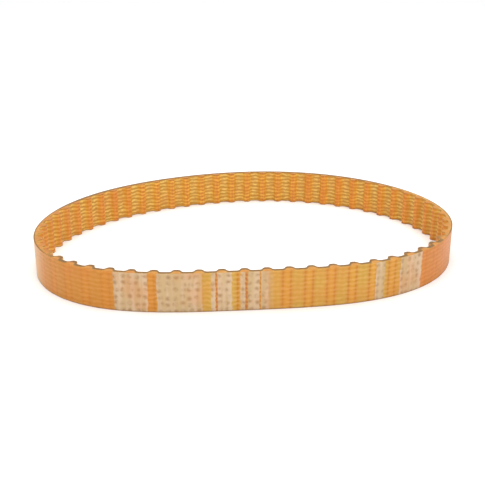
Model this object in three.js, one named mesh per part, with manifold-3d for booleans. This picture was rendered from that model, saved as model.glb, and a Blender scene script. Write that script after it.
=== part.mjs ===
// A cast polyurethane timing belt, standing on one cut edge in its relaxed oval shape.
// It is divided into short sections that hinge on the line of its cords, so that it can flex.
import * as THREE from 'three';
import { mergeVertices } from 'three/addons/utils/BufferGeometryUtils.js';
import Module from 'manifold-3d';

// Driving dimensions, in millimetres: an XL belt, 60 teeth, 3/8 inch wide.
const PITCH = 5.08;
const TEETH = 60;
const WIDTH = 9.525;
const TOTAL_THICKNESS = 2.3;
const TOOTH_HEIGHT = 1.27;
const TOOTH_ROOT_WIDTH = 2.57;
const FLANK_TILT = THREE.MathUtils.degToRad(25);
const TIP_RADIUS = 0.38;
const ROOT_RADIUS = 0.38;
const ARC_STEPS = 2;

// The cords: a helix of passes side by side, centred on the pitch line.
const CORD_TO_LAND = 0.254;
const CORD_DIAMETER = 0.3;
const CORD_PASSES = 8;
const CORD_SPACING = 1.1;
const FILM_THICKNESS = 0.16;
const CHANNEL_GAP = 0.03;

// The sections, each a body of its own.
const TEETH_PER_SECTION = 3;
const SECTIONS = TEETH / TEETH_PER_SECTION;
const FACETS_PER_TOOTH = 2;
const END_GAP = 0.3;

// The relaxed loop: how far its direction leads that of a circle, in radians, as a few
// sine waves along its length. Wave 2 makes it oval, wave 3 egg-shaped, 4 and 5 blunt its ends.
const LOOP_WAVES = [
  { count: 2, size: 0.216, phase: 0 },
  { count: 3, size: 0.102, phase: THREE.MathUtils.degToRad(-62) },
  { count: 4, size: 0.037, phase: THREE.MathUtils.degToRad(-144) },
  { count: 5, size: 0.020, phase: THREE.MathUtils.degToRad(-172) },
];
const FIRST_CREST = 0.29 * PITCH;
const LOOP_STEPS = 2400;
const MERGE_DISTANCE = 1e-4;

const LENGTH = TEETH * PITCH;
const SECTION_LENGTH = TEETH_PER_SECTION * PITCH;
const TIP = CORD_TO_LAND + TOOTH_HEIGHT;
const BACK = TIP - TOTAL_THICKNESS;

const wasm = await Module();
wasm.setup();

// ---- the pitch line ----

function heading(share) {
  const turn = 2 * Math.PI * share;
  let angle = turn - Math.PI / 2;
  for (const wave of LOOP_WAVES) {
    angle += wave.size * Math.sin(wave.count * turn + wave.phase);
  }
  return angle;
}

// Points at even steps of length along the pitch line, from the -X end, counter-clockwise.
function pitchLine() {
  const step = LENGTH / LOOP_STEPS;
  const points = [new THREE.Vector2(0, 0)];
  for (let i = 0; i < LOOP_STEPS; i += 1) {
    const angle = heading((i + 0.5) / LOOP_STEPS);
    const move = new THREE.Vector2(Math.cos(angle), Math.sin(angle)).multiplyScalar(step);
    points.push(points[i].clone().add(move));
  }
  // The waves leave a small gap between the two ends, which is shared out along the loop.
  const gap = points[LOOP_STEPS].clone();
  points.forEach((point, i) => point.addScaledVector(gap, -i / LOOP_STEPS));
  points.pop();
  return points;
}

const LINE = pitchLine();

// The point at a distance along the belt, and the direction into the loop there.
function placeAt(distance) {
  const at = THREE.MathUtils.euclideanModulo(distance / LENGTH, 1) * LOOP_STEPS;
  const i = Math.floor(at);
  const pick = (k) => LINE[(i + k + LOOP_STEPS) % LOOP_STEPS];
  const point = pick(0).clone().lerp(pick(1), at - i);
  const along = pick(2).clone().sub(pick(-1)).normalize();
  return { point, inward: new THREE.Vector2(-along.y, along.x) };
}

// The middle of the loop's box, measured over its back: the origin.
function loopCentre() {
  const box = new THREE.Box2();
  for (let i = 0; i < LOOP_STEPS; i += 1) {
    const { point, inward } = placeAt((i * LENGTH) / LOOP_STEPS);
    box.expandByPoint(point.addScaledVector(inward, BACK));
  }
  return box.getCenter(new THREE.Vector2());
}

const CENTRE = loopCentre();

// Bends a straight piece round the loop: x runs along the belt, y is depth from the
// pitch line towards the teeth, z is height.
function bend(geometry) {
  const position = geometry.getAttribute('position');
  for (let i = 0; i < position.count; i += 1) {
    const { point, inward } = placeAt(position.getX(i));
    point.addScaledVector(inward, position.getY(i)).sub(CENTRE);
    position.setXY(i, point.x, point.y);
  }
  return geometry;
}

// ---- polyurethane ----

// Half of one tooth, from its crest to its root, as [along, depth] pairs.
function halfTooth() {
  const points = [];
  const rootX = TOOTH_ROOT_WIDTH / 2;
  const slope = Math.tan(FLANK_TILT);
  const turn = Math.PI / 2 - FLANK_TILT;
  const reach = Math.tan(turn / 2);
  const arc = (cx, cy, radius, from, to) => {
    for (let i = 0; i <= ARC_STEPS; i += 1) {
      const angle = from + ((to - from) * i) / ARC_STEPS;
      points.push([cx + radius * Math.cos(angle), cy + radius * Math.sin(angle)]);
    }
  };
  const crestX = rootX - TOOTH_HEIGHT * slope;
  arc(crestX - TIP_RADIUS * reach, TIP - TIP_RADIUS, TIP_RADIUS, Math.PI / 2, FLANK_TILT);
  const rootY = CORD_TO_LAND + ROOT_RADIUS;
  arc(rootX + ROOT_RADIUS * reach, rootY, ROOT_RADIUS, Math.PI + FLANK_TILT, 1.5 * Math.PI);
  return points;
}

// The outline of a section, seen along its width: flat back, teeth on the other side.
function sectionShape(start) {
  const half = halfTooth();
  const outline = [];
  const backFacets = TEETH_PER_SECTION * FACETS_PER_TOOTH;
  const from = start + END_GAP / 2;
  const to = start + SECTION_LENGTH - END_GAP / 2;
  for (let i = 0; i <= backFacets; i += 1) {
    const along = start + (i * SECTION_LENGTH) / backFacets;
    outline.push([THREE.MathUtils.clamp(along, from, to), BACK]);
  }
  outline.push([to, CORD_TO_LAND]);
  for (let tooth = TEETH_PER_SECTION - 1; tooth >= 0; tooth -= 1) {
    const crest = start + (tooth + 0.5) * PITCH;
    half.toReversed().forEach(([along, depth]) => outline.push([crest + along, depth]));
    half.forEach(([along, depth]) => outline.push([crest - along, depth]));
    if (tooth > 0) outline.push([crest - PITCH / 2, CORD_TO_LAND]);
  }
  outline.push([from, CORD_TO_LAND]);
  return new THREE.Shape(outline.map(([along, depth]) => new THREE.Vector2(along, depth)));
}

// ---- cords ----

// Extrudes a [depth, height] outline along a section and bends it round the loop. It stops
// short of the section's ends, or runs past each of them by `extra` facets. `climb` is how
// far it rises over the section.
function sweptPiece(points, start, extra, climb) {
  const shape = new THREE.Shape(points.map(([depth, z]) => new THREE.Vector2(depth, z)));
  const facet = PITCH / FACETS_PER_TOOTH;
  const steps = TEETH_PER_SECTION * FACETS_PER_TOOTH + 2 * extra;
  const geometry = new THREE.ExtrudeGeometry(shape, {
    depth: steps * facet, steps, bevelEnabled: false,
  });
  const inset = extra > 0 ? -extra * facet : END_GAP / 2;
  const [from, to] = [start + inset, start + SECTION_LENGTH - inset];
  const position = geometry.getAttribute('position');
  for (let i = 0; i < position.count; i += 1) {
    const [depth, z, run] = [position.getX(i), position.getY(i), position.getZ(i)];
    const along = THREE.MathUtils.clamp(start + run - extra * facet, from, to);
    position.setXYZ(i, along, depth, z + (climb * run) / SECTION_LENGTH);
  }
  return bend(geometry);
}

// A ribbon of the cord passes, joined by the film of polyurethane between them.
// Its back is flat, and each pass is a ridge on the side of the teeth.
function cordOutline(index) {
  const radius = CORD_DIAMETER / 2;
  const film = FILM_THICKNESS - radius;
  const climbed = (CORD_SPACING * index) / SECTIONS;
  const lowest = WIDTH / 2 - (CORD_PASSES * CORD_SPACING) / 2 + climbed;
  const highest = lowest + (CORD_PASSES - 1) * CORD_SPACING;
  const points = [[-radius, highest + radius], [-radius, lowest - radius]];
  points.push([film, lowest - radius]);
  for (let pass = 0; pass < CORD_PASSES; pass += 1) {
    const z = lowest + pass * CORD_SPACING;
    if (pass > 0) points.push([film, z - CORD_SPACING / 2]);
    points.push([radius, z]);
  }
  points.push([film, highest + radius]);
  return points;
}

// The channel that the cords lie in, through the whole length of a section.
function channelOutline() {
  const depth = CORD_DIAMETER / 2 + CHANNEL_GAP;
  const half = (CORD_PASSES * CORD_SPACING) / 2 + depth;
  const [low, high] = [WIDTH / 2 - half, WIDTH / 2 + half];
  return [[-depth, low], [depth, low], [depth, high], [-depth, high]];
}

// ---- joining and cutting ----

function toSolid(geometry) {
  geometry.deleteAttribute('normal');
  geometry.deleteAttribute('uv');
  const merged = mergeVertices(geometry, MERGE_DISTANCE);
  return new wasm.Manifold(new wasm.Mesh({
    numProp: 3,
    vertProperties: new Float32Array(merged.getAttribute('position').array),
    triVerts: new Uint32Array(merged.getIndex().array),
  }));
}

function toGeometry(solid) {
  const mesh = solid.getMesh();
  const geometry = new THREE.BufferGeometry();
  geometry.setAttribute('position', new THREE.BufferAttribute(mesh.vertProperties, 3));
  geometry.setIndex(new THREE.BufferAttribute(mesh.triVerts, 1));
  geometry.computeVertexNormals();
  return geometry;
}

// ---- materials and assembly ----

const POLYURETHANE = new THREE.MeshStandardMaterial({
  color: 0xe39a4a, roughness: 0.3, metalness: 0,
});
const STEEL_CORD = new THREE.MeshStandardMaterial({
  color: 0xb9b4a8, roughness: 0.45, metalness: 0.9,
});

function polyurethaneSection(start) {
  const body = new THREE.ExtrudeGeometry(sectionShape(start), {
    depth: WIDTH, bevelEnabled: false,
  });
  const channel = toSolid(sweptPiece(channelOutline(), start, 1, 0));
  return toGeometry(toSolid(bend(body)).subtract(channel));
}

function cordSection(start, index) {
  return sweptPiece(cordOutline(index), start, 0, CORD_SPACING / SECTIONS);
}

function named(name, geometry, material) {
  const mesh = new THREE.Mesh(geometry, material);
  mesh.name = name;
  return mesh;
}

const belt = new THREE.Group();
belt.name = 'timing_belt';
for (let index = 0; index < SECTIONS; index += 1) {
  const start = FIRST_CREST - PITCH / 2 + index * SECTION_LENGTH;
  const number = String(index + 1).padStart(2, '0');
  const section = new THREE.Group();
  section.add(named(`polyurethane_section_${number}`, polyurethaneSection(start), POLYURETHANE));
  section.add(named(`cord_section_${number}`, cordSection(start, index), STEEL_CORD));
  belt.add(section);
}

export default belt;
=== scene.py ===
import math

import bpy
import numpy as np
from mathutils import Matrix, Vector


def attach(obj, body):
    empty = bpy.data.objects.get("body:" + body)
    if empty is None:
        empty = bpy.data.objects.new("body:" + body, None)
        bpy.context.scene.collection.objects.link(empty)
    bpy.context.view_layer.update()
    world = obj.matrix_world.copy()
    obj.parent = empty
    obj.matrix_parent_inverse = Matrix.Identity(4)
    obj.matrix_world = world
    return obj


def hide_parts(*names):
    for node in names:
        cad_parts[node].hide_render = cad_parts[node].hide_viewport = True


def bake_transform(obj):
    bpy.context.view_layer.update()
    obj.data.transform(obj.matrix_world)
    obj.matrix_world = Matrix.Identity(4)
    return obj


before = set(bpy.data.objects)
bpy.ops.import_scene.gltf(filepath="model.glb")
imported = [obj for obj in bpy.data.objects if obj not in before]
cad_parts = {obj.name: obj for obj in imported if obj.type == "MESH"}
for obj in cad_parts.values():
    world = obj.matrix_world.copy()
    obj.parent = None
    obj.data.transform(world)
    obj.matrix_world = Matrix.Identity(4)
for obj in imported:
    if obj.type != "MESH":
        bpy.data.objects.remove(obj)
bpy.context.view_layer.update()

# ---- driving dimensions, in metres: the CAD model's belt, with rounder fillets on its teeth ----

MM = 0.001
PITCH = 5.08 * MM
TEETH = 60
LENGTH = TEETH * PITCH
WIDTH = 9.525 * MM
TOTAL_THICKNESS = 2.3 * MM
TOOTH_HEIGHT = 1.27 * MM
TOOTH_ROOT_WIDTH = 2.57 * MM
FLANK_TILT = math.radians(25)
TIP_FILLET = 0.80 * MM
ROOT_FILLET = 0.75 * MM
CORD_TO_LAND = 0.254 * MM
TIP = CORD_TO_LAND + TOOTH_HEIGHT
BACK = TIP - TOTAL_THICKNESS

CORD_RADIUS = 0.15 * MM
CORD_PASSES = 8
CORD_SPACING = 1.1 * MM

TEETH_PER_SECTION = 3
SECTIONS = TEETH // TEETH_PER_SECTION
SECTION_LENGTH = TEETH_PER_SECTION * PITCH
OPEN_AFTER = 5           # the loop's one boundary with no joint follows this section

# The relaxed loop: how far its direction leads that of a circle, as sine waves
# (count, size in radians, phase in radians) along its length.
LOOP_WAVES = (
    (2, 0.216, 0.0),
    (3, 0.102, math.radians(-62)),
    (4, 0.037, math.radians(-144)),
    (5, 0.020, math.radians(-172)),
)
FIRST_CREST = 0.29 * PITCH
LOOP_STEPS = 2400

# Pale bands of painted reflection across the back: from and to, in teeth after the first crest, and
# how softly each ends.
REFLECTION_BANDS = (
    (7.22, 8.73, 0.03), (9.14, 11.11, 0.04), (11.50, 11.69, 0.02), (11.79, 12.42, 0.03),
    (12.80, 13.01, 0.02), (13.13, 13.64, 0.03), (13.71, 14.12, 0.22), (19.01, 19.46, 0.03),
    (20.32, 21.71, 0.03),
)
RED_LINES = ((11.68, 11.80, 0.02), (13.00, 13.12, 0.02))
BAND_START_FADE = 0.02

# ---- fine shape, in metres ----

CHAMFER = 0.05 * MM
SHARP_ANGLE = math.radians(40)
FACE_STEPS = 52          # quads across the width
EDGE_STEPS = 5           # quads across a cut edge
ARC_STEPS = 6
LAND_STEPS = 3
CREST_POINT = 0.10 * MM  # a station on the flat of each crest, beside its middle
LAND_START = 0.3         # in pitches from a crest
LAND_FADE = 0.1
SINK = 0.010 * MM        # the back dips behind each tooth, where the belt is thickest
CORD_PRINT = 0.04 * MM   # how far each pass of cord stands out on the lands
CORD_PRINT_WIDTH = 0.30 * MM
PRINT_UNEVENNESS = 0.4
CORD_STEPS = 12          # rings in each pitch
CORD_SIDES = 10

# Random waves round the loop: how many of each there are to a turn, and the seed.
WAVE_SIZES = (0.4, 1.0)
BACK_WAVE = 0.012 * MM
BACK_WAVES = (range(17, 67, 5), 5)
CORD_SWAY = 0.03 * MM
CORD_WAVES = (range(40, 100, 7), 20)
PRINT_WAVES = (range(61, 181, 11), 3)
PRINT_LEAN = 3           # how much the print's waves shift along the belt with height

# ---- camera, floor and light ----

LENS = 58.0              # mm, as is the sensor
SENSOR_WIDTH = 36.0
SHIFT_Y = -0.0019
CLIP_START = 0.01
CLIP_END = 10.0
CAMERA_PLACE = Vector((-40.94, -197.52, 77.29)) * MM
CAMERA_AIM = Vector((-2.02, -8.86, 4.76)) * MM
FLOOR_SIZE = 5.0
FLOOR_DROP = 0.02 * MM
FLOOR_COLOUR = (0.96, 0.96, 0.96, 1.0)
FLOOR_ROUGHNESS = 0.9
FLOOR_SPECULAR = 0.2
WHITE = (1.0, 1.0, 1.0, 1.0)
WORLD_STRENGTH = 1.0
SOFTBOXES = (            # name, location, size and watts
    ("overhead", (0.0, 0.10, 0.60), 0.6, 1.8),
    ("front", (0.12, -0.60, 0.40), 0.4, 1.4),
)


# ---- colours and finish ----

def srgb(red, green, blue):
    """A display colour, 0 to 255, as the linear colour that the shaders take."""
    levels = (value / 255 for value in (red, green, blue))
    return (*(v / 12.92 if v <= 0.04045 else ((v + 0.055) / 1.055) ** 2.4 for v in levels), 1.0)


# Plain colours, from the middle of a tooth at 0 to the middle of the land beside it at 1.
BETWEEN_CORDS = (
    (0.00, srgb(196, 110, 24)), (0.26, srgb(214, 134, 34)), (0.42, srgb(224, 154, 46)),
    (0.60, srgb(198, 138, 42)), (1.00, srgb(194, 140, 46)),
)
OVER_CORDS = (
    (0.00, srgb(242, 182, 72)), (0.26, srgb(248, 194, 82)), (0.42, srgb(252, 208, 98)),
    (0.60, srgb(248, 206, 102)), (1.00, srgb(250, 214, 118)),
)
# The back is darker on each side of a tooth: painted shade of the flanks, seen through the back.
BACK_AMBER = (
    (0.00, srgb(214, 154, 52)), (0.16, srgb(211, 148, 46)), (0.36, srgb(192, 118, 26)),
    (0.54, srgb(202, 148, 54)), (0.72, srgb(202, 158, 64)), (1.00, srgb(202, 152, 58)),
)
FLANK_SHADOW = 0.15      # how far, in teeth, the painted shade of the flanks lies beside their place on the back

# Layers over the plain colours: the most that each one covers, and its colour. The multiplying tint
# darkens the colour under it, as painted shade.
TEETH_AT_ENDS = (0.3, srgb(224, 116, 22))
BACK_AT_ENDS = (0.6, srgb(208, 148, 50))
BACK_OVER_CORDS = (0.36, srgb(238, 196, 110))
# A painted reflection of the white surroundings, pale on the tips of the loop's ends.
REFLECTION_AT_TIPS = (0.5, srgb(244, 208, 156))
# Painted shade: a tint that multiplies the back, deepening it at the loop's ends and more at its
# right end.
SHADE_TINT = (0.97, 0.75, 0.56, 1.0)
SHADE_AT_ENDS = (1.0, SHADE_TINT)
SHADE_AT_RIGHT = (0.65, SHADE_TINT)
BLOTCHES = (0.25, srgb(222, 132, 58))
# Painted shade, darker along the bottom edge where the belt stands on the floor.
FOOT_SHADE = (0.75, srgb(146, 106, 64))
RIM = (0.7, srgb(150, 108, 56))
CUT_FACE = (0.7, srgb(206, 142, 70))
CUT_LINE = (0.9, srgb(124, 94, 48))

# The bands of painted reflection, and the red lines.
REFLECTION_COVER = 0.95
REFLECTION_PALE = srgb(218, 192, 160)
REFLECTION_DIM = srgb(205, 177, 132)
REFLECTION_DOTS = srgb(168, 130, 92)
DOT_SPACING = 1.67       # mm
DOT_SCATTER = 0.4
RED = srgb(184, 102, 56)
RED_BETWEEN_CORDS = 0.75
RED_OVER_CORDS = 0.3

# Where each face or layer begins and where it is full, in mm from its own surface or edge.
BACK_FADE = (0.03, 0.01)
CUT_FADE = (0.030, 0.005)
FOOT_SHADE_FADE = (0.34, 0.10)
RIM_FADE = (0.26, 0.08)
LINE_BY_TEETH = (1.40, 0.70)
LINE_BY_BACK = (0.42, 0.18)
FAR_LINE_WIDTH = 3.6     # how much wider the line by the back is on the far run
FAR_LINE_FADE = (-8.0, -30.0)  # mm across the round loop, whose far run is negative

# Stretches of the belt, in teeth: start, full, still full, end.
NEAR_RUN = (2.2, 4.5, 23.2, 25.2)
# Where the back gets extra painted shade, at the right end.
SHADED_RIGHT_END = (20.8, 22.2, 25.5, 28.0)

# The loop's ends: a wave that is 1 at its two tips and -1 halfway between them.
ENDS = (-0.75, -0.10)
# TIPS places the painted reflection at the loop's tips.
TIPS = (0.78, 0.96)

# Noise textures: features per mm, detail and stretch. Levels: from, to, and what they become.
GRAIN = (3.0, 3.0)
SAWN = (7.0, 2.0, (0.3, 0.3, 1.0))
BLOTCH_TEXTURE = (0.13, 3.0)
BLOTCH_LEVELS = (0.45, 0.66)
REFLECTION_PATCH_TEXTURE = (0.9, 1.0, (1.0, 1.0, 0.08))
REFLECTION_PATCH_LEVELS = (0.35, 0.65)
DOT_TEXTURE = (0.9, 2.0)
DOT_LEVELS = (0.38, 0.62, 0.2, 0.9)
BAND_TEXTURE = (1.2, 2.0)
BAND_LEVELS = (0.3, 0.7, -0.02, 0.02)    # to a wobble in teeth
ROW_TEXTURE = (0.55, 2.0)
ROW_LEVELS = (0.3, 0.7, -0.16, 0.16)     # to a wobble in cord spacings
BREAK_TEXTURE = (0.8, 2.0, (1.0, 1.0, 1.6))
BREAK_LEVELS = (0.35, 0.62, 0.45, 1.0)

# Fades round the cords, teeth and dots, from where they begin to where they are full.
ROW_FADE = (0.40, 0.10)        # in cord spacings from a cord
TOOTH_FADE = (0.55, 0.20)      # with 0 in the middle of a tooth and 1 in the middle of a land
DOT_FADE = (0.55, 0.05)        # in dot spacings from a dot

# Roughness, bumps (strength and height) and the rest of the polyurethane's finish.
GRAIN_ROUGHNESS = (0.3, 0.7, 0.42, 0.52)
FROST_ROUGHNESS = 0.25
SAWN_ROUGHNESS = 0.25
GRAIN_BUMP = (0.05, 0.02 * MM)
SAWN_BUMP = (0.4, 0.03 * MM)
TRANSMISSION = 0.3
REFRACTION = 1.5
SPECULAR = 0.18
COAT = 0.08
COAT_ROUGHNESS = 0.2

CORD_DARK = srgb(150, 138, 118)
CORD_BRIGHT = srgb(246, 240, 226)
CORD_METALLIC = 0.6
CORD_ROUGHNESS = (0.5, 0.32)
STRAND_BUMP = (0.5, 0.03 * MM)
STRAND_TWIST = (50.0, 12.0, 16.0)        # radians per tooth, and per mm of depth and height


# ---- the loop ----

def pitch_line():
    """Points at even steps along the pitch line, as x + iy, anticlockwise from the -X end."""
    turn = 2 * math.pi * (np.arange(LOOP_STEPS) + 0.5) / LOOP_STEPS
    heading = turn - math.pi / 2
    for count, size, phase in LOOP_WAVES:
        heading += size * np.sin(count * turn + phase)
    points = np.concatenate([[0], np.cumsum(np.exp(1j * heading))]) * LENGTH / LOOP_STEPS
    # The waves leave a small gap between the two ends, which is shared out along the loop.
    points -= points[-1] * np.arange(LOOP_STEPS + 1) / LOOP_STEPS
    return points[:-1]


LINE = pitch_line()


def place(distance):
    """Points on the pitch line at distances along the belt, and the directions into the loop."""
    at = np.mod(np.asarray(distance, float) / LENGTH, 1) * LOOP_STEPS
    i = np.floor(at).astype(int)
    point = LINE[i % LOOP_STEPS] * (1 - at + i) + LINE[(i + 1) % LOOP_STEPS] * (at - i)
    along = LINE[(i + 2) % LOOP_STEPS] - LINE[(i - 1) % LOOP_STEPS]
    return point, 1j * along / np.abs(along)


def loop_centre():
    """The middle of the box round the belt's back, which is the frame's origin."""
    point, inward = place(np.arange(LOOP_STEPS) * LENGTH / LOOP_STEPS)
    back = point + inward * BACK
    middle = (back.real.min() + back.real.max(), back.imag.min() + back.imag.max())
    return complex(*middle) / 2


CENTRE = loop_centre()


def to_frame(distance, depth, height):
    """Belt coordinates (along, towards the teeth, up) to points in the frame."""
    point, inward = place(distance)
    flat = point + inward * depth - CENTRE
    return np.stack([flat.real, flat.imag, np.broadcast_to(height, flat.shape)], axis=-1)


def section_middle(section):
    """How far along the belt the middle of a section is: the crest of its middle tooth."""
    return FIRST_CREST + (section - 1) * SECTION_LENGTH + PITCH


def uneven(distance, waves):
    """A smooth random wave along the loop, about -1 to 1, with no seam."""
    counts, seed = waves
    random = np.random.default_rng(seed)
    turn = 2 * math.pi * np.asarray(distance) / LENGTH
    total = np.zeros_like(turn)
    for count in counts:
        total += random.uniform(*WAVE_SIZES) * np.sin(count * turn + random.uniform(0, 2 * math.pi))
    return total / math.sqrt(len(counts))


# ---- the outline of the teeth ----

def arc(centre, radius, start, end):
    """Points of a fillet round a centre, as (along, depth)."""
    angles = np.linspace(start, end, ARC_STEPS + 1)
    return [(centre[0] + radius * math.cos(a), centre[1] + radius * math.sin(a)) for a in angles]


def half_tooth():
    """(along, depth) from the middle of a crest to the middle of the land beside it."""
    reach = math.tan((math.pi / 2 - FLANK_TILT) / 2)
    root = TOOTH_ROOT_WIDTH / 2
    crest = root - TOOTH_HEIGHT * math.tan(FLANK_TILT)
    tip_centre = (crest - reach * TIP_FILLET, TIP - TIP_FILLET)
    root_centre = (root + reach * ROOT_FILLET, CORD_TO_LAND + ROOT_FILLET)
    points = [(0.0, TIP), (CREST_POINT, TIP)]
    points += arc(tip_centre, TIP_FILLET, math.pi / 2, FLANK_TILT)
    points += arc(root_centre, ROOT_FILLET, math.pi + FLANK_TILT, 1.5 * math.pi)
    land = points[-1][0]
    for step in range(1, LAND_STEPS + 1):
        points.append((land + (PITCH / 2 - land) * step / LAND_STEPS, CORD_TO_LAND))
    return points


def belt_stations():
    """Distances of the stations in one pitch after a crest, and the toothed side's depth there."""
    half = half_tooth()
    other = [(PITCH - along, depth) for along, depth in half[-2:0:-1]]
    tooth = np.array(half + other)
    return tooth[:, 0], tooth[:, 1]


STATION_ALONG, STATION_DEPTH = belt_stations()
PER_TOOTH = len(STATION_ALONG)


# ---- meshes ----

def tube_faces(rows, columns):
    """Quads of an open tube, facing out: rows of stations, columns round the section."""
    row, column = np.meshgrid(np.arange(rows - 1), np.arange(columns), indexing="ij")
    after = (column + 1) % columns
    quads = (row * columns + column, row * columns + after,
             (row + 1) * columns + after, (row + 1) * columns + column)
    return np.stack(quads, axis=-1).reshape(-1, 4)


def add_attribute(mesh, name, values):
    """Gives every point of a mesh a vector that materials can read, from three arrays."""
    vectors = np.stack([column.ravel() for column in values], axis=1)
    attribute = mesh.attributes.new(name, "FLOAT_VECTOR", "POINT")
    attribute.data.foreach_set("vector", vectors.astype(np.float32).ravel())


def make_mesh(name, run, depth, height, moved, faces):
    """A smooth mesh, whose depths are moved a little from the plain ones. Its materials can
    read "belt" (teeth after the first crest, then depth and height in mm) and "loop" (the same
    place in mm on a round belt, which has no seam)."""
    run, depth, height = (values.ravel() for values in (run, depth, height))
    points = to_frame(run, moved.ravel(), height)
    mesh = bpy.data.meshes.new(name)
    mesh.from_pydata(points.tolist(), [], faces.tolist())
    turn = 2 * math.pi * run / LENGTH
    radius = LENGTH / MM / (2 * math.pi)
    teeth = (run - FIRST_CREST) / PITCH
    add_attribute(mesh, "belt", (teeth, depth / MM, height / MM))
    add_attribute(mesh, "loop", (radius * np.cos(turn), radius * np.sin(turn), height / MM))
    mesh.shade_smooth()
    piece = bpy.data.objects.new(name, mesh)
    bpy.context.scene.collection.objects.link(piece)
    return piece


def section_ring(inner):
    """(depth, height) round one cross-section of the polyurethane, toothed side first."""
    rise = np.linspace(CHAMFER, WIDTH - CHAMFER, FACE_STEPS + 1)
    across = np.linspace(inner - CHAMFER, BACK + CHAMFER, EDGE_STEPS + 1)
    depth = [np.full(len(rise), inner), across, np.full(len(rise), BACK), across[::-1]]
    height = [rise, np.full(len(across), WIDTH), rise[::-1], np.zeros(len(across))]
    return np.concatenate(depth), np.concatenate(height)


def cord_height(climbed, number):
    """The height of one pass of the cord helix, at a share of a turn from the middle of
    section 1."""
    return WIDTH / 2 + (number - CORD_PASSES / 2 + climbed) * CORD_SPACING


def relief(run, depth, height, inner):
    """How far the surface stands off its plain place, along the depth direction."""
    off_crest = np.abs(np.mod(run - FIRST_CREST + PITCH / 2, PITCH) - PITCH / 2) / PITCH
    land = np.clip((off_crest - LAND_START) / LAND_FADE, 0, 1)
    climbed = np.mod(run - section_middle(1), LENGTH) / LENGTH
    prints = np.zeros_like(height)
    for number in range(CORD_PASSES):
        away = (height - cord_height(climbed, number)) / CORD_PRINT_WIDTH
        prints += np.exp(-away * away)
    strength = 1 + PRINT_UNEVENNESS * uneven(run + PRINT_LEAN * height, PRINT_WAVES)
    printed = CORD_PRINT * land * prints * strength
    dipped = SINK * np.cos(2 * math.pi * off_crest) + BACK_WAVE * uneven(run, BACK_WAVES)
    on_inner = np.isclose(depth, inner)
    on_back = np.isclose(depth, BACK)
    return np.where(on_inner, printed, 0) + np.where(on_back, dipped, 0)


def station_at(distance):
    """The number of the station at a distance of whole or half pitches after the first crest."""
    half_pitches = round((distance - FIRST_CREST) / PITCH * 2)
    return half_pitches * PER_TOOTH // 2


def polyurethane(name, start, end):
    """The polyurethane between two distances, as an open tube that its neighbours continue.
    Its material can also read "skin", the distances from the back and from the toothed side
    in mm."""
    picked = np.arange(station_at(start), station_at(end) + 1)
    along = STATION_ALONG[picked % PER_TOOTH] + picked // PER_TOOTH * PITCH + FIRST_CREST
    inner = STATION_DEPTH[picked % PER_TOOTH][:, None]
    rings = [section_ring(depth) for depth in inner[:, 0]]
    depth, height = (np.array(values) for values in zip(*rings))
    run = np.repeat(along[:, None], depth.shape[1], axis=1)
    moved = depth + relief(run, depth, height, inner)
    piece = make_mesh(name, run, depth, height, moved, tube_faces(*depth.shape))
    skin = ((depth - BACK) / MM, (inner - depth) / MM, np.zeros_like(depth))
    add_attribute(piece.data, "skin", skin)
    piece.data.set_sharp_from_angle(angle=SHARP_ANGLE)
    return piece


def cords(name, start, end):
    """The passes of steel cord between two distances, each a round tube."""
    along = np.linspace(start, end, round((end - start) / PITCH * CORD_STEPS) + 1)
    angle = np.linspace(0, 2 * math.pi, CORD_SIDES, endpoint=False)
    run = np.repeat(along[:, None], CORD_SIDES, axis=1)
    climbed = (run - section_middle(1)) / LENGTH
    depths, heights, faces = [], [], []
    sway = CORD_SWAY * uneven(run, CORD_WAVES)
    for number in range(CORD_PASSES):
        depths.append(np.broadcast_to(CORD_RADIUS * np.cos(angle), run.shape))
        heights.append(cord_height(climbed, number) + sway + CORD_RADIUS * np.sin(angle))
        faces.append(tube_faces(*run.shape) + number * run.size)
    depth, height = np.array(depths), np.array(heights)
    runs = np.broadcast_to(run, depth.shape)
    return make_mesh(name, runs, depth, height, depth, np.concatenate(faces))


# ---- materials ----

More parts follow.
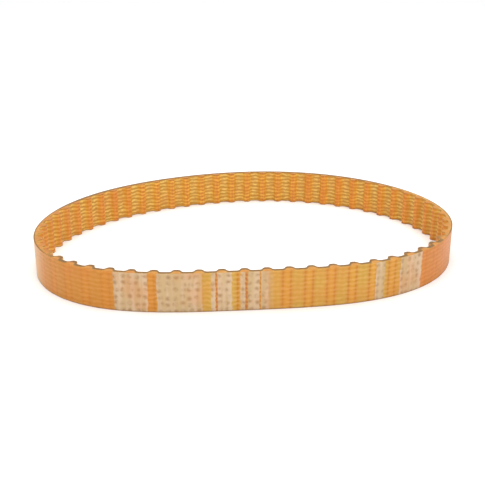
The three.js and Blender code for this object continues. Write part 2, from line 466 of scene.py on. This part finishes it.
class Nodes:
    """Short calls for building one material's node tree."""

    def __init__(self, name):
        self.material = bpy.data.materials.new(name)
        self.material.use_nodes = True
        self.tree = self.material.node_tree
        self.shader = self.tree.nodes["Principled BSDF"]

    def add(self, kind, **settings):
        node = self.tree.nodes.new(kind)
        for key, value in settings.items():
            setattr(node, key, value)
        return node

    def put(self, socket, value):
        if isinstance(value, bpy.types.NodeSocket):
            self.tree.links.new(value, socket)
        else:
            socket.default_value = value

    def math(self, operation, a, b=0.0):
        node = self.add("ShaderNodeMath", operation=operation)
        self.put(node.inputs[0], a)
        self.put(node.inputs[1], b)
        return node.outputs[0]

    def times(self, a, b):
        return self.math("MULTIPLY", a, b)

    def one_minus(self, value):
        return self.math("SUBTRACT", 1.0, value)

    def ease(self, value, low, high, to_low=0.0, to_high=1.0):
        """Goes smoothly from to_low to to_high as the value goes from low to high."""
        node = self.add("ShaderNodeMapRange", interpolation_type="SMOOTHSTEP")
        for i, setting in enumerate((value, low, high, to_low, to_high)):
            self.put(node.inputs[i], setting)
        return node.outputs[0]

    def mix(self, share, a, b, blend="MIX"):
        node = self.add("ShaderNodeMix", data_type="RGBA", blend_type=blend)
        self.put(node.inputs[0], share)
        self.put(node.inputs[6], a)
        self.put(node.inputs[7], b)
        return node.outputs[2]

    def layer(self, mask, under, over, blend="MIX"):
        """A colour with a layer over it where the mask is 1: (the most that it covers, colour)."""
        most, colour = over
        return self.mix(self.times(mask, most), under, colour, blend)

    def ramp(self, value, stops):
        """A smooth colour ramp from stops of (position, colour)."""
        node = self.add("ShaderNodeValToRGB")
        node.color_ramp.interpolation = "EASE"
        elements = node.color_ramp.elements
        elements.remove(elements[1])
        elements[0].position, elements[0].color = stops[0]
        for position, tint in stops[1:]:
            elements.new(position).color = tint
        self.put(node.inputs[0], value)
        return node.outputs[0]

    def noise(self, vector, scale, detail=2.0, stretch=None):
        """Smooth noise with about scale features per mm, times stretch along each axis."""
        if stretch:
            node = self.add("ShaderNodeVectorMath", operation="MULTIPLY")
            self.put(node.inputs[0], vector)
            self.put(node.inputs[1], stretch)
            vector = node.outputs[0]
        node = self.add("ShaderNodeTexNoise")
        self.put(node.inputs["Vector"], vector)
        node.inputs["Scale"].default_value = scale
        node.inputs["Detail"].default_value = detail
        return node.outputs["Fac"]

    def patches(self, vector, texture, levels):
        """Soft patches: noise with some settings, eased between some of its levels."""
        return self.ease(self.noise(vector, *texture), *levels)

    def cells(self, x, y, randomness):
        """The distance to the nearest of a grid of scattered points, one to each unit square."""
        joined = self.add("ShaderNodeCombineXYZ")
        self.put(joined.inputs[0], x)
        self.put(joined.inputs[1], y)
        node = self.add("ShaderNodeTexVoronoi", voronoi_dimensions="2D")
        self.put(node.inputs["Vector"], joined.outputs[0])
        node.inputs["Scale"].default_value = 1.0
        node.inputs["Randomness"].default_value = randomness
        return node.outputs["Distance"]

    def attribute(self, name):
        return self.add("ShaderNodeAttribute", attribute_name=name).outputs["Vector"]

    def split(self, vector):
        node = self.add("ShaderNodeSeparateXYZ")
        self.put(node.inputs[0], vector)
        return node.outputs[0], node.outputs[1], node.outputs[2]

    def bump(self, height, strength, distance, under=None):
        node = self.add("ShaderNodeBump")
        node.inputs["Strength"].default_value = strength
        node.inputs["Distance"].default_value = distance
        self.put(node.inputs["Height"], height)
        if under is not None:
            self.put(node.inputs["Normal"], under)
        return node.outputs[0]


def stretch_mask(nodes, teeth, start, full, still_full, end):
    """1 on one stretch of the belt, easing in and out at its ends."""
    return nodes.times(nodes.ease(teeth, start, full), nodes.ease(teeth, end, still_full))


def band_mask(nodes, teeth, bands):
    """1 in the bands and 0 between them."""
    total = 0.0
    for start, end, fade in bands:
        band = (start - BAND_START_FADE, start + BAND_START_FADE, end - fade, end + fade)
        total = nodes.math("ADD", total, stretch_mask(nodes, teeth, *band))
    return total


def end_mask(nodes, teeth, reach):
    """1 round the loop's two tight ends and 0 along its sides, between two levels of a wave
    that rises and falls twice round the loop."""
    turns = nodes.times(teeth, 2 * 2 * math.pi / TEETH)
    return nodes.ease(nodes.math("COSINE", turns), *reach)


def cord_rows(nodes, teeth, height, loop):
    """1 over each pass of cord and 0 between them, a little wavy and broken up."""
    phase = nodes.math("DIVIDE", nodes.math("SUBTRACT", height, WIDTH / MM / 2), CORD_SPACING / MM)
    helix_start = (section_middle(1) - FIRST_CREST) / PITCH
    turned = nodes.math("DIVIDE", nodes.math("SUBTRACT", teeth, helix_start), TEETH)
    wave = nodes.patches(loop, ROW_TEXTURE, ROW_LEVELS)
    off_cord = nodes.math("SUBTRACT", nodes.math("ADD", phase, wave), turned)
    rows = nodes.ease(nodes.math("PINGPONG", off_cord, 0.5), *ROW_FADE)
    return nodes.times(rows, nodes.patches(loop, BREAK_TEXTURE, BREAK_LEVELS))


def from_tooth(nodes, teeth):
    """0 in the middle of each tooth and 1 in the middle of each land."""
    return nodes.times(nodes.math("PINGPONG", teeth, 0.5), 2.0)


def toothed_colour(nodes, teeth, rows):
    """Orange teeth and yellower lands, with the cords as light dashes."""
    off_tooth = from_tooth(nodes, teeth)
    between = nodes.ramp(off_tooth, BETWEEN_CORDS)
    colour = nodes.mix(rows, between, nodes.ramp(off_tooth, OVER_CORDS))
    on_tooth = nodes.ease(off_tooth, *TOOTH_FADE)
    return nodes.layer(nodes.times(end_mask(nodes, teeth, ENDS), on_tooth), colour, TEETH_AT_ENDS)


def amber_colour(nodes, teeth, rows):
    """The plain back: two darker lines for each tooth's flanks, painted as shade of the flanks seen
    through the back, and painted shade that deepens the colour at the loop's ends, more so at the
    right end, apart from their pale tips, which are a painted reflection."""
    ends = end_mask(nodes, teeth, ENDS)
    amber = nodes.ramp(from_tooth(nodes, nodes.math("ADD", teeth, FLANK_SHADOW)), BACK_AMBER)
    amber = nodes.layer(ends, amber, BACK_AT_ENDS)
    amber = nodes.layer(rows, amber, BACK_OVER_CORDS)
    # Painted shade at the loop's ends and at the right end, then a painted reflection at the tips.
    amber = nodes.layer(ends, amber, SHADE_AT_ENDS, "MULTIPLY")
    amber = nodes.layer(stretch_mask(nodes, teeth, *SHADED_RIGHT_END), amber, SHADE_AT_RIGHT, "MULTIPLY")
    return nodes.layer(end_mask(nodes, teeth, TIPS), amber, REFLECTION_AT_TIPS)


def reflection_colour(nodes, teeth, height, loop):
    """The pale colour of the bands, a painted reflection of the lights, patchy across the belt and
    dotted.
    """
    patchy = nodes.patches(loop, REFLECTION_PATCH_TEXTURE, REFLECTION_PATCH_LEVELS)
    reflected = nodes.mix(patchy, REFLECTION_PALE, REFLECTION_DIM)
    along = nodes.times(teeth, PITCH / MM / DOT_SPACING)
    off_dot = nodes.cells(along, nodes.math("DIVIDE", height, DOT_SPACING), DOT_SCATTER)
    strength = nodes.patches(loop, DOT_TEXTURE, DOT_LEVELS)
    return nodes.mix(nodes.times(nodes.ease(off_dot, *DOT_FADE), strength), reflected, REFLECTION_DOTS)


def back_colour(nodes, teeth, height, rows, loop):
    """The colour of the back, with its red lines and its pale bands of painted reflection, and
    where those bands lie.
    """
    amber = amber_colour(nodes, teeth, rows)
    cover = nodes.ease(rows, 0.0, 1.0, RED_BETWEEN_CORDS, RED_OVER_CORDS)
    amber = nodes.mix(nodes.times(band_mask(nodes, teeth, RED_LINES), cover), amber, RED)
    wobble = nodes.patches(loop, BAND_TEXTURE, BAND_LEVELS)
    # Pale bands painted as reflections of the lights, wobbling a little along the belt.
    reflecting_bands = band_mask(nodes, nodes.math("ADD", teeth, wobble), REFLECTION_BANDS)
    reflected = reflection_colour(nodes, teeth, height, loop)
    return nodes.mix(nodes.times(reflecting_bands, REFLECTION_COVER), amber, reflected), reflecting_bands


def cut_colour(nodes, teeth, inner, loop):
    """The two cut edges, with a dark line: by the teeth on the near run and by the back
    on the rest."""
    from_back, from_teeth = nodes.split(nodes.attribute("skin"))[:2]
    near = stretch_mask(nodes, teeth, *NEAR_RUN)
    by_teeth = nodes.times(nodes.ease(from_teeth, *LINE_BY_TEETH), near)
    wider = nodes.ease(nodes.split(loop)[1], *FAR_LINE_FADE, 1.0, FAR_LINE_WIDTH)
    by_back = nodes.ease(nodes.math("DIVIDE", from_back, wider), *LINE_BY_BACK)
    by_back = nodes.times(by_back, nodes.one_minus(near))
    cut = nodes.layer(1.0, inner, CUT_FACE)
    return nodes.layer(nodes.math("MAXIMUM", by_teeth, by_back), cut, CUT_LINE)


def polyurethane_surface(nodes, reflecting_bands, on_back, on_edge, loop):
    """Satin and partly clear, hazier on the bands of painted reflection and rougher on the cut
    edges.
    """
    shader = nodes.shader
    grain = nodes.noise(loop, *GRAIN)
    haze = nodes.times(nodes.times(reflecting_bands, on_back), FROST_ROUGHNESS)
    added = nodes.math("ADD", haze, nodes.times(on_edge, SAWN_ROUGHNESS))
    rough = nodes.math("ADD", nodes.ease(grain, *GRAIN_ROUGHNESS), added)
    nodes.put(shader.inputs["Roughness"], rough)
    shader.inputs["Transmission Weight"].default_value = TRANSMISSION
    shader.inputs["IOR"].default_value = REFRACTION
    shader.inputs["Specular IOR Level"].default_value = SPECULAR
    shader.inputs["Coat Weight"].default_value = COAT
    shader.inputs["Coat Roughness"].default_value = COAT_ROUGHNESS
    sawn = nodes.times(nodes.noise(loop, *SAWN), on_edge)
    fine = nodes.bump(grain, *GRAIN_BUMP)
    nodes.put(shader.inputs["Normal"], nodes.bump(sawn, *SAWN_BUMP, fine))


def polyurethane_material():
    """Amber polyurethane: the toothed side, the back, and the two cut edges between them."""
    nodes = Nodes("amber_polyurethane")
    loop = nodes.attribute("loop")
    belt = nodes.split(nodes.attribute("belt"))
    teeth, height = belt[0], belt[2]
    on_back = nodes.ease(nodes.split(nodes.attribute("skin"))[0], *BACK_FADE)
    on_edge = nodes.ease(nodes.math("PINGPONG", height, WIDTH / MM / 2), *CUT_FADE)

    rows = cord_rows(nodes, teeth, height, loop)
    inner = toothed_colour(nodes, teeth, rows)
    back, reflecting_bands = back_colour(nodes, teeth, height, rows, loop)
    faces = nodes.mix(on_back, inner, back)
    faces = nodes.layer(nodes.patches(loop, BLOTCH_TEXTURE, BLOTCH_LEVELS), faces, BLOTCHES)
    # Painted shade along the bottom edge, where the belt stands on the floor.
    faces = nodes.layer(nodes.ease(height, *FOOT_SHADE_FADE), faces, FOOT_SHADE)
    rim = nodes.ease(nodes.math("SUBTRACT", WIDTH / MM, height), *RIM_FADE)
    faces = nodes.layer(nodes.times(rim, nodes.one_minus(on_back)), faces, RIM)
    cut = cut_colour(nodes, teeth, inner, loop)
    nodes.put(nodes.shader.inputs["Base Color"], nodes.mix(on_edge, faces, cut))
    polyurethane_surface(nodes, reflecting_bands, on_back, on_edge, loop)
    return nodes.material


def cord_material():
    """Bright twisted steel wire, tinted by the oil and resin between its strands."""
    nodes = Nodes("twisted_steel_cord")
    teeth, depth, height = nodes.split(nodes.attribute("belt"))
    by_tooth, by_depth, by_height = STRAND_TWIST
    spiral = nodes.math("ADD", nodes.times(teeth, by_tooth), nodes.times(height, by_height))
    strand = nodes.math("SINE", nodes.math("ADD", spiral, nodes.times(depth, by_depth)))
    tone = nodes.mix(nodes.ease(strand, -1.0, 0.6), CORD_DARK, CORD_BRIGHT)
    nodes.put(nodes.shader.inputs["Base Color"], tone)
    nodes.shader.inputs["Metallic"].default_value = CORD_METALLIC
    nodes.put(nodes.shader.inputs["Roughness"], nodes.ease(strand, -1.0, 1.0, *CORD_ROUGHNESS))
    nodes.put(nodes.shader.inputs["Normal"], nodes.bump(strand, *STRAND_BUMP))
    return nodes.material


# ---- pieces ----

def stand_for(piece, material, slot, sections):
    """Gives a piece its material, and hides the parts of the CAD nodes that it stands for."""
    piece.data.materials.append(material)
    cad = "cord" if slot == "steel_cord" else "polyurethane"
    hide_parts(*(f"{cad}_section_{section:02d}" for section in sections))


def belt_span(tag, start, end, sections, materials):
    """The polyurethane and the cords between two distances, which stand for some sections."""
    pieces = (polyurethane(f"polyurethane_{tag}", start, end), cords(f"cords_{tag}", start, end))
    for piece, (slot, material) in zip(pieces, materials.items()):
        stand_for(piece, material, slot, sections)
    return pieces


def bending_span(first, second, materials):
    """The belt between the middles of two sections, across the joint between them."""
    start = section_middle(first)
    end = start + SECTION_LENGTH
    for piece in belt_span(f"{first:02d}_{second:02d}", start, end, (first, second), materials):
        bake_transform(piece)


def rigid_span(section, start, materials):
    """Half of a section beside the boundary that has no joint, from start."""
    end = start + SECTION_LENGTH / 2
    for piece in belt_span(f"open_{section:02d}", start, end, (section,), materials):
        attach(piece, f"section_{section:02d}")


def build_belt():
    """A span across each joint, and two rigid ones at the boundary that has none."""
    materials = {"polyurethane": polyurethane_material(), "steel_cord": cord_material()}
    for first in range(1, SECTIONS + 1):
        second = first % SECTIONS + 1
        if first == OPEN_AFTER:
            rigid_span(first, section_middle(first), materials)
            rigid_span(second, section_middle(first) + SECTION_LENGTH / 2, materials)
        else:
            bending_span(first, second, materials)


# ---- the stage ----

def turn_to_face(thing, target):
    thing.rotation_euler = (target - thing.location).to_track_quat("-Z", "Y").to_euler()


def add_camera():
    data = bpy.data.cameras.new("camera")
    data.sensor_width = SENSOR_WIDTH
    data.lens = LENS
    data.clip_start = CLIP_START
    data.clip_end = CLIP_END
    data.shift_y = SHIFT_Y
    camera = bpy.data.objects.new("camera", data)
    camera.location = CAMERA_PLACE
    turn_to_face(camera, CAMERA_AIM)
    bpy.context.scene.collection.objects.link(camera)
    bpy.context.scene.camera = camera


def add_floor():
    """A plain white floor, just under the belt."""
    bpy.ops.mesh.primitive_plane_add(size=FLOOR_SIZE, location=(0, 0, -FLOOR_DROP))
    plane = bpy.context.object
    plane.name = "floor"
    nodes = Nodes("white_floor")
    nodes.shader.inputs["Base Color"].default_value = FLOOR_COLOUR
    nodes.shader.inputs["Roughness"].default_value = FLOOR_ROUGHNESS
    nodes.shader.inputs["Specular IOR Level"].default_value = FLOOR_SPECULAR
    plane.data.materials.append(nodes.material)


def add_softbox(name, location, size, watts):
    """A square soft light that faces the belt."""
    data = bpy.data.lights.new(name, "AREA")
    data.size = size
    data.energy = watts
    lamp = bpy.data.objects.new(name, data)
    lamp.location = location
    turn_to_face(lamp, Vector())
    bpy.context.scene.collection.objects.link(lamp)


def add_lights():
    """An even white world and two softboxes."""
    world = bpy.data.worlds.new("studio")
    world.use_nodes = True
    background = world.node_tree.nodes["Background"]
    background.inputs["Color"].default_value = WHITE
    background.inputs["Strength"].default_value = WORLD_STRENGTH
    bpy.context.scene.world = world
    for softbox in SOFTBOXES:
        add_softbox(*softbox)


add_camera()
build_belt()
add_floor()
add_lights()
bpy.context.scene.view_settings.view_transform = "Standard"
